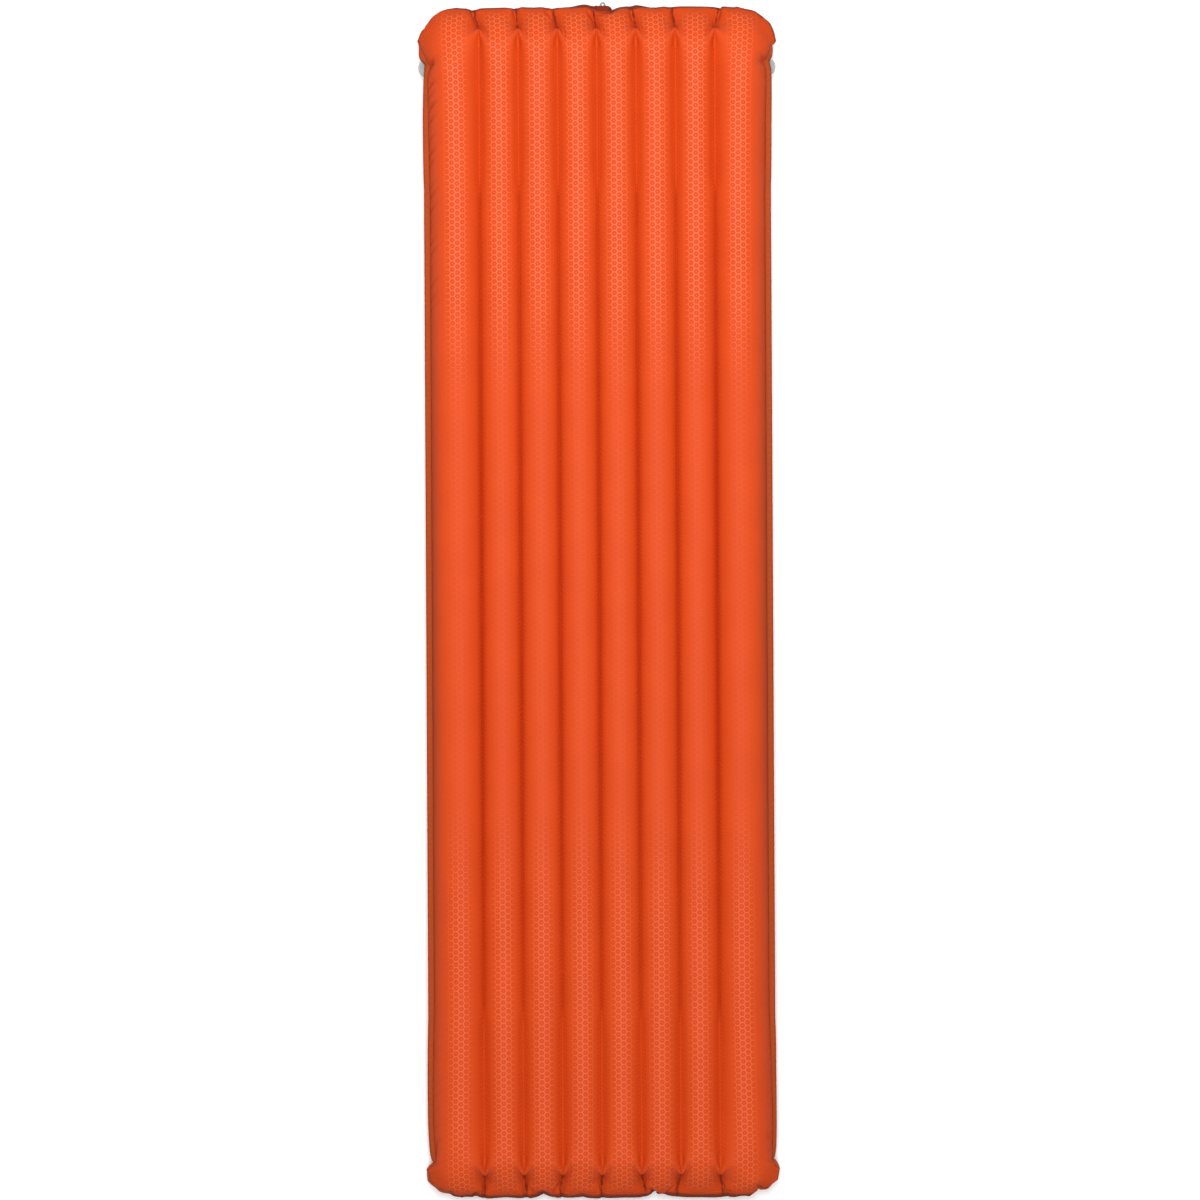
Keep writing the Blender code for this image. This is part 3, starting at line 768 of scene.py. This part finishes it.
def puckered(s, normal, flat, along, weld, edge, welded, flange):
    """Fine puckers square to the weld lines, slanting ones off the side seams, and pressed-in welds."""
    place = s.add(along, s.times(s.noise(36.0, 3.0, flat), 0.020))
    near_weld = s.times(s.step(weld, 0.0022, 0.0042), s.step(weld, 0.016, 0.005), welded)
    wave = s.math("SINE", s.times(place, 2 * math.pi / WELD_PUCKERS))
    normal = s.bump(s.times(wave, near_weld), 0.0005, 0.5, normal)
    near_seam = s.times(s.step(edge, FLANGE, FLANGE + 0.003), s.step(edge, FLANGE + 0.022, FLANGE + 0.004))
    wave = s.math("SINE", s.times(s.add(place, edge), 2 * math.pi / SEAM_PUCKERS))
    normal = s.bump(s.times(wave, near_seam), 0.0005, 0.6, normal)
    band = s.times(welded, s.step(weld, WELD_EDGE + 0.0005, WELD_EDGE - 0.0003))
    return s.bump(s.add(s.times(band, -0.6), s.times(flange, -1.0)), 0.0003, 0.7, normal)


def fabric(name, colour, deep_colour, printed):
    """The coated fabric of a sheet, laid out on its flat pattern."""
    s = Shader(name, 0.5)
    s.main.inputs["Specular IOR Level"].default_value = 0.18
    flat, (across, along, _) = s.attribute("flat_place")
    _, (weld, crown, edge) = s.attribute("distances")
    out = s.math("ABSOLUTE", along)
    mottle = s.noise(14.0, 3.0, flat)
    fine = s.noise(420.0, 2.0, flat)
    base = s.mix(s.step(mottle, 0.35, 0.65, 0.0, 0.35), (*colour, 1), (*deep_colour, 1))
    base = s.tint(base, s.step(fine, 0.3, 0.7), 0.12, deep_colour)
    # Painted shade: the steep flanks by the side seams are painted darker and browner, and the valleys
    # darker, most away from both ends. The flanks are also duller.
    away = s.step(out, 0.70, 0.15)
    flank = s.step(edge, FLANGE + 0.046, FLANGE + 0.012)
    base = s.tint(base, flank, s.math("MULTIPLY_ADD", away, 0.30, 0.28), (0.25, 0.027, 0.001))
    base = s.tint(base, s.times(s.step(weld, 0.015, 0.002), away), 0.38, (0.36, 0.014, 0.0004))
    rough = s.add(s.step(fine, 0.3, 0.7, 0.58, 0.68), s.times(flank, 0.26))
    relief = s.times(weave(s, across, along), 0.25)
    if printed:
        outline, ring, dot = honeycomb(s, across, along)
        highlight_on_print = print_highlight_mask(s, along, out, crown, edge)
        # Painted highlight: the print's lines and dots are painted lighter, and its rings shown, only where
        # its glossy lines would catch the lamps.
        light = s.times(s.math("MAXIMUM", outline, s.times(dot, 0.5)), highlight_on_print)
        base = s.tint(base, light, 0.62, (0.68, 0.145, 0.050))
        base = s.tint(base, s.times(ring, highlight_on_print), 0.6, (0.44, 0.032, 0.002))
        rough = s.math("SUBTRACT", rough, s.times(light, 0.16))
        relief = s.add(relief, s.times(outline, 0.5))
    welded = s.step(out, CUT_BAFFLE_END - 0.002, CUT_BAFFLE_END - 0.006)
    flange = s.step(edge, FLANGE + 0.0008, FLANGE - 0.0008)
    base = shaded(s, base, flat, out, weld, edge, welded, flange)
    normal = puckered(s, s.bump(relief, 0.00012, 0.35), flat, along, weld, edge, welded, flange)
    if not printed:
        _, (valve, _, _) = s.attribute("valve_distance")
        ring = s.step(s.gap(valve, VALVE_MARK), 0.0016, 0.0006)
        base = s.tint(base, ring, 0.35, (0.36, 0.030, 0.008))
        normal = s.bump(ring, 0.0004, -0.7, normal)
    return s.finish(base, rough, normal)


def plastic(name, colour, other_colour, roughness, transmission, grain):
    """Moulded soft plastic: a cloudy colour, a fine grain and a few rubbed spots."""
    s = Shader(name, roughness, transmission)
    cloudy = s.mix(s.step(s.noise(160.0, 4.0), 0.3, 0.7), (*colour, 1), (*other_colour, 1))
    rubbed = s.step(s.noise(900.0), 0.35, 0.65, roughness - 0.06, roughness + 0.08)
    return s.finish(cloudy, rubbed, s.bump(s.noise(2600.0, 3.0), grain, 0.5))


def film(name):
    """The baffles' fabric: a plain weave, dyed like the sheets."""
    s = Shader(name, 0.6)
    _, along, up = s.parts(s.node("ShaderNodeTexCoord").outputs["Object"])
    dyed = s.mix(s.noise(60.0, 3.0), (0.42, 0.040, 0.006, 1), (0.34, 0.030, 0.004, 1))
    return s.finish(dyed, None, s.bump(weave(s, along, up), 0.0001, 0.4))


def placed(name, data):
    """A new object in the scene."""
    thing = bpy.data.objects.new(name, data)
    bpy.context.scene.collection.objects.link(thing)
    return thing


def paint(thing, material):
    thing.data.materials.clear()
    thing.data.materials.append(material)


# ---- valve pieces

COLLAR, COLLAR_TOP, THROAT = 0.0125, 0.002, 0.010
THROAT_WALL, THROAT_DEPTH = 0.012, 0.012
RING_OUTER, RING_TOP, RING = 0.0195, -0.0009, 0.001
TETHER_BOTTOM, TETHER_TOP = 0.0003, 0.0015
TETHER_RING, TETHER_HOLE, TETHER_TIP = 0.016, 0.0128, 0.0135
CAP_BOTTOM, CAP_TOP, CAP_RADIUS = 0.0023, 0.0040, 0.0145
PLUG, PLUG_WALL, PLUG_END = 0.0094, 0.0012, -0.0012
STRAP_HALF, STRAP_BOTTOM, STRAP_TOP = 0.010, 0.0024, 0.0035
BEAD = 0.0011
TURN_STEPS = 96


def arc(centre, radius, start, end, steps):
    """Points (x, y) along an arc, both ends among them. The angles are in degrees."""
    turns = [math.radians(start + (end - start) * step / steps) for step in range(steps + 1)]
    return [(centre[0] + radius * math.cos(t), centre[1] + radius * math.sin(t)) for t in turns]


def rounded(profile, radius):
    """A closed outline with its corners rounded off, each by an arc-like curve of three steps."""
    steps = 3
    made = []
    for k, corner in enumerate(profile):
        corner = Vector(corner)
        before, after = Vector(profile[k - 1]), Vector(profile[(k + 1) % len(profile)])
        reach = min(radius, (before - corner).length / 2.1, (after - corner).length / 2.1)
        start = corner + (before - corner).normalized() * reach
        end = corner + (after - corner).normalized() * reach
        for step in range(steps + 1):
            t = step / steps
            made.append(tuple((1 - t) ** 2 * start + 2 * t * (1 - t) * corner + t * t * end))
    return made


def bridge(form, ring, following, closed=True):
    """Adds the faces between two rings of points."""
    for k in range(len(ring) if closed else len(ring) - 1):
        j = (k + 1) % len(ring)
        form.faces.new((ring[k], ring[j], following[j], following[k]))


def turned(form, profile, closed=True):
    """Adds a profile (radius, height) turned round Z to form."""
    rings = []
    for step in range(TURN_STEPS):
        angle = 2 * math.pi * step / TURN_STEPS
        cos, sin = math.cos(angle), math.sin(angle)
        rings.append([form.verts.new((r * cos, r * sin, z)) for r, z in profile])
    for ring, following in zip(rings, rings[1:] + rings[:1]):
        bridge(form, ring, following, closed)


def slab(form, outline, hole, bottom, top, rounding):
    """Adds a flat plate of an outline with a hole of as many points, its edges rounded off."""
    levels = [(rounding, bottom), (0.0, bottom + rounding), (0.0, top - rounding), (rounding, top)]

    def ring(points, inset, z, sign):
        made = []
        for k, (x, y) in enumerate(points):
            ahead = Vector(points[(k + 1) % len(points)]) - Vector(points[k - 1])
            out = Vector((ahead.y, -ahead.x)).normalized() * inset * sign
            made.append(form.verts.new((x - out.x, y - out.y, z)))
        return made

    outer = [ring(outline, inset, z, 1) for inset, z in levels]
    inner = [ring(hole, inset, z, -1) for inset, z in levels]
    rings = outer + inner[::-1]
    for low, high in zip(rings, rings[1:] + rings[:1]):
        bridge(form, low, high)


def bar(form, outline, half_width):
    """Adds a bar along Y with an (x, z) outline, its ends closed."""
    ends = [[form.verts.new((x, y, z)) for x, z in outline] for y in (-half_width, half_width)]
    bridge(form, *ends)
    form.faces.new(ends[0][::-1])
    form.faces.new(ends[1])


def grip(x, half, base, height):
    """The outline of a small raised rib across a strap."""
    top = base + height
    return [(x - half, base), (x + half, base), (x + 0.6 * half, top), (x - 0.6 * half, top)]


def piece(name, form, matrix, body, slot, material, *nodes):
    """A finished piece from a bmesh in the valve's frame, riding on a body in place of CAD nodes."""
    bmesh.ops.recalc_face_normals(form, faces=form.faces)
    mesh = bpy.data.meshes.new(name)
    form.to_mesh(mesh)
    form.free()
    mesh.transform(matrix)
    mesh.shade_smooth()
    mesh.set_sharp_from_angle(angle=math.radians(40))
    thing = placed(name, mesh)
    paint(thing, material)
    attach(thing, body)
    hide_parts(*nodes)
    return thing


def make_throat(use, matrix, material):
    """The throat with its collar, a sealing bead on its mouth and the flange ring inside the sheet."""
    profile = [
        (COLLAR, COLLAR_TOP),
        (COLLAR, RING_TOP),
        (RING_OUTER, RING_TOP),
        (RING_OUTER, RING_TOP - RING),
        (THROAT_WALL, RING_TOP - RING),
        (THROAT_WALL, -THROAT_DEPTH),
        (THROAT, -THROAT_DEPTH),
        (THROAT, -0.0030),
        (THROAT - 0.0002, -0.0022),
        (THROAT, -0.0014),
        (THROAT, COLLAR_TOP),
    ]
    form = bmesh.new()
    turned(form, rounded(profile, 0.0003))
    piece(use + "_throat", form, matrix, "pad", "valve_tpu", material, use + "_valve_body")


def make_tether(use, matrix, material):
    """The ring round the collar drawn out to a tip, with a saddle for the cap's bead and ribs to grip."""
    steps = TURN_STEPS // 2 - 1
    lean = math.degrees(math.acos((TETHER_RING - TETHER_TIP) / HINGE_OUT))
    round_tip = arc((HINGE_OUT, 0), TETHER_TIP, -lean, lean, steps)
    round_ring = arc((0, 0), TETHER_RING, lean, 360 - lean, steps)
    # The tip's points look at the hole from afar, so they are spread over the side that faces them.
    hole = arc((0, 0), TETHER_HOLE, -0.96 * lean, 0.96 * lean, steps)
    hole += arc((0, 0), TETHER_HOLE, lean, 360 - lean, steps)
    form = bmesh.new()
    slab(form, round_tip + round_ring, hole, TETHER_BOTTOM, TETHER_TOP, 0.00035)
    top = HINGE_UP - 0.0007
    reach = BEAD + 0.0006
    dip = math.degrees(math.acos(0.0007 / (BEAD + 0.0001)))
    cradle = arc((HINGE_OUT, HINGE_UP), BEAD + 0.0001, 270 + dip, 270 - dip, 10)
    foot = reach + 0.0008
    saddle = [(HINGE_OUT - foot, TETHER_TOP - 0.0002), (HINGE_OUT + foot, TETHER_TOP - 0.0002)]
    saddle += [(HINGE_OUT + reach, top)] + cradle + [(HINGE_OUT - reach, top)]
    bar(form, saddle, STRAP_HALF - 0.0005)
    for k in range(3):
        x = HINGE_OUT + 0.0045 + 0.0025 * k
        bar(form, grip(x, 0.0006, TETHER_TOP - 0.0001, 0.0005), 0.0085 - 0.0016 * k)
    piece(use + "_strap_and_tip", form, matrix, "pad", "valve_tpu", material, use + "_tether")


def make_cap(use, matrix, material):
    """The cap: a dished disc with a raised rim, a hollow plug with a bead, and the strap to the hinge."""
    profile = [
        (0.0, CAP_TOP - 0.0005),
        (0.0090, CAP_TOP - 0.0005),
        (0.0102, CAP_TOP),
        (CAP_RADIUS - 0.0010, CAP_TOP),
        (CAP_RADIUS, CAP_TOP - 0.0007),
        (CAP_RADIUS, CAP_BOTTOM + 0.0002),
        (CAP_RADIUS - 0.0003, CAP_BOTTOM),
        (PLUG, CAP_BOTTOM),
        (PLUG, 0.0006),
        (PLUG + 0.0003, 0.0002),
        (PLUG, -0.0002),
        (PLUG - 0.0006, PLUG_END),
        (PLUG - PLUG_WALL, PLUG_END),
        (PLUG - PLUG_WALL, CAP_BOTTOM + 0.0003),
        (0.0, CAP_BOTTOM + 0.0003),
    ]
    form = bmesh.new()
    turned(form, profile, closed=False)
    bmesh.ops.remove_doubles(form, verts=form.verts, dist=0.00001)
    ends = [(HINGE_OUT, STRAP_TOP), (HINGE_OUT, STRAP_BOTTOM)]
    strap = ends + [(0.0125, STRAP_BOTTOM), (0.0125, STRAP_TOP)]
    bar(form, rounded(strap, 0.0002), STRAP_HALF)
    bar(form, arc((HINGE_OUT, HINGE_UP), BEAD, 0, 360, 32)[:-1], STRAP_HALF)
    for k in range(2):
        bar(form, grip(0.0185 + 0.0060 * k, 0.0011, STRAP_TOP - 0.0001, 0.0003), STRAP_HALF - 0.0015)
    piece(use + "_plug_cap", form, matrix, use + "_cap", "valve_tpu", material, use + "_cap")


def make_hang_tab(material):
    """The little ring tab: a leaf under the flange, a ring with a round wall, and a thickened eye."""
    ring, hole, leaf = 0.00415, 0.0017, (TAB_HIGH.x - TAB_LOW.x) / 2
    thick, depth = TAB_HIGH.z - TAB_LOW.z, (TAB_HIGH.y - TAB_LOW.y) - 2 * ring
    centre = Matrix.Translation((TAB_X, TAB_HIGH.y - ring, TAB_LOW.z))
    outline = arc((0, 0), ring, 0, 180, 24)
    cut_off, end = 0.0012, -depth - ring
    outline += [(-leaf, cut_off - ring), (-leaf, end + cut_off), (cut_off - leaf, end)]
    outline += [(leaf - cut_off, end), (leaf, end + cut_off), (leaf, cut_off - ring)]
    holes = [(hole * math.cos(a), hole * math.sin(a)) for a in (math.atan2(y, x) for x, y in outline)]
    form = bmesh.new()
    slab(form, outline, holes, 0.0, thick, 0.0003)
    rim = [(3.0, 0.0), (3.7, 0.0), (3.7, 0.35), (3.35, 0.6), (3.0, 0.35)]
    turned(form, [(r * 0.001, thick - 0.0001 + h * 0.0005) for r, h in rim])
    piece("hang_tab_ring", form, centre, "pad", "tab_tpu", material, "hang_tab")


# ---- stage


def area_light(name, place, target, size, size_y, power):
    lamp = bpy.data.lights.new(name, "AREA")
    lamp.shape = "RECTANGLE"
    lamp.size, lamp.size_y = size, size_y
    lamp.energy = power
    thing = placed(name, lamp)
    thing.location = place
    thing.rotation_euler = (Vector(target) - Vector(place)).to_track_quat("-Z", "Y").to_euler()
    thing.visible_camera = False


def make_stage():
    form = bmesh.new()
    bmesh.ops.create_grid(form, x_segments=1, y_segments=1, size=12.0)
    mesh = bpy.data.meshes.new("floor")
    form.to_mesh(mesh)
    form.free()
    floor = placed("floor", mesh)
    s = Shader("pale_floor", 0.9)
    s.main.inputs["Specular IOR Level"].default_value = 0.1
    paint(floor, s.finish(s.mix(s.noise(3.0), (0.955, 0.955, 0.955, 1), (0.97, 0.97, 0.97, 1))))
    area_light("softbox_top", (0.0, 0.0, 5.0), (0, 0, 0), 1.6, 4.6, 245)
    area_light("softbox_head", (0.0, 1.10, 1.7), (0, 0.85, 0), 2.2, 0.9, 20)
    world = bpy.data.worlds.new("studio")
    bpy.context.scene.world = world
    world.use_nodes = True
    background = world.node_tree.nodes["Background"]
    background.inputs["Color"].default_value = (1, 1, 1, 1)
    background.inputs["Strength"].default_value = 0.42


def make_camera():
    """Straight above the pad, from far enough that its sides hardly splay."""
    height, view, roll = 8.0, 1.8377, -0.3
    camera = bpy.data.cameras.new("overhead")
    camera.sensor_width = 36
    camera.lens = camera.sensor_width * (height - MID_Z) / view
    thing = placed("overhead", camera)
    thing.location = (0.0006, -0.0008, height)
    thing.rotation_euler = (0, 0, math.radians(roll))
    bpy.context.scene.camera = thing
    bpy.context.scene.view_settings.view_transform = "Standard"


# ---- the pad

seats = [valve_seat(use) for use in ("inflate", "deflate")]


# Where the seam runs round each corner: (side, turn round the corner of the cut, x, y, z).
HEAD_CORNERS = [
    (-1, 14, 0.2735, 0.860, 0.0),
    (-1, 45, 0.2562, 0.8874, -0.002),
    (-1, 68, 0.2378, 0.9040, 0.001),
    (-1, 90, 0.2150, 0.9085, -0.001),
    (1, 15, 0.2735, 0.858, 0.0),
    (1, 40, 0.2645, 0.8828, 0.002),
    (1, 65, 0.2430, 0.9020, -0.002),
    (1, 90, 0.2140, 0.9085, 0.0),
]
FOOT_CORNERS = [
    (-1, 15, 0.2695, 0.8700, 0.001),
    (-1, 32, 0.2640, 0.8855, -0.003),
    (-1, 50, 0.2500, 0.8950, 0.002),
    (-1, 70, 0.2320, 0.9010, -0.002),
    (-1, 90, 0.2130, 0.9070, -0.001),
    (1, 3, 0.2665, 0.8610, -0.002),
    (1, 15, 0.2715, 0.8730, 0.001),
    (1, 30, 0.2690, 0.8870, -0.001),
    (1, 50, 0.2505, 0.9000, 0.001),
    (1, 60, 0.2405, 0.8965, -0.005),
    (1, 75, 0.2335, 0.9055, -0.001),
    (1, 90, 0.2170, 0.9075, 0.0),
]

# Each end: how far its seven pleats lean over to the right, then the flange's notches as (flat place, depth,
# sink), and the side notches where the corner ears begin as (side, flat place along, depth, sink).
head = inflate(
    leans=[-0.007, -0.003, -0.006, -0.005, -0.004, -0.004, 0.006],
    notches=[(0.0, 0.002, 0.004), (0.032, 0.009, 0.005)],
    side_notches=[(-1, 0.824, 0.002, 0.003), (1, 0.828, 0.001, 0.003)],
    corners=HEAD_CORNERS,
    seed=5,
    valves=seats,
    tab=(TAB_X, 0.009, 0.0065),
)
foot = inflate(
    leans=[0.0, 0.004, -0.005, -0.003, 0.005, -0.006, 0.004],
    notches=[(-0.108, 0.008, 0.004), (-0.036, 0.003, 0.002), (0.092, 0.011, 0.005)],
    side_notches=[(-1, 0.862, 0.003, 0.005), (1, 0.858, 0.002, 0.004)],
    corners=FOOT_CORNERS,
    seed=8,
)
end_depth = CUT_SEAM_Y - head[1][0, MIDDLE, 1]

printed_fabric = fabric("printed_fabric", (0.528, 0.050, 0.0040), (0.480, 0.042, 0.0030), True)
base_fabric = fabric("base_fabric", (0.45, 0.042, 0.004), (0.40, 0.034, 0.003), False)
for name, layer, slot, material in (
    ("top_sheet", 0, "top_fabric", printed_fabric),
    ("bottom_sheet", 1, "base_fabric", base_fabric),
):
    sheet = make_sheet(name + "_fabric", layer)
    paint(sheet, material)
    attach(sheet, "pad")
    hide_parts(name)

tpu = plastic("grey_tpu", (0.37, 0.40, 0.385), (0.47, 0.50, 0.485), 0.38, 0.25, 0.00004)
for use in ("inflate", "deflate"):
    matrix, _ = valve_frame(use)
    make_throat(use, matrix, tpu)
    make_tether(use, matrix, tpu)
    make_cap(use, matrix, tpu)
make_hang_tab(plastic("dark_tpu", (0.10, 0.105, 0.11), (0.15, 0.155, 0.16), 0.45, 0.0, 0.00005))

paint(frame["nodes"]["inflate_check_grid"], tpu)
silicone = plastic("flap_silicone", (0.20, 0.21, 0.23), (0.27, 0.28, 0.30), 0.5, 0.1, 0.00004)
paint(frame["nodes"]["inflate_check_flap"], silicone)
baffle_film = film("baffle_film")
for k in range(1, 8):
    paint(frame["nodes"][f"baffle_{k}"], baffle_film)

make_stage()
make_camera()

bpy.context.view_layer.update()
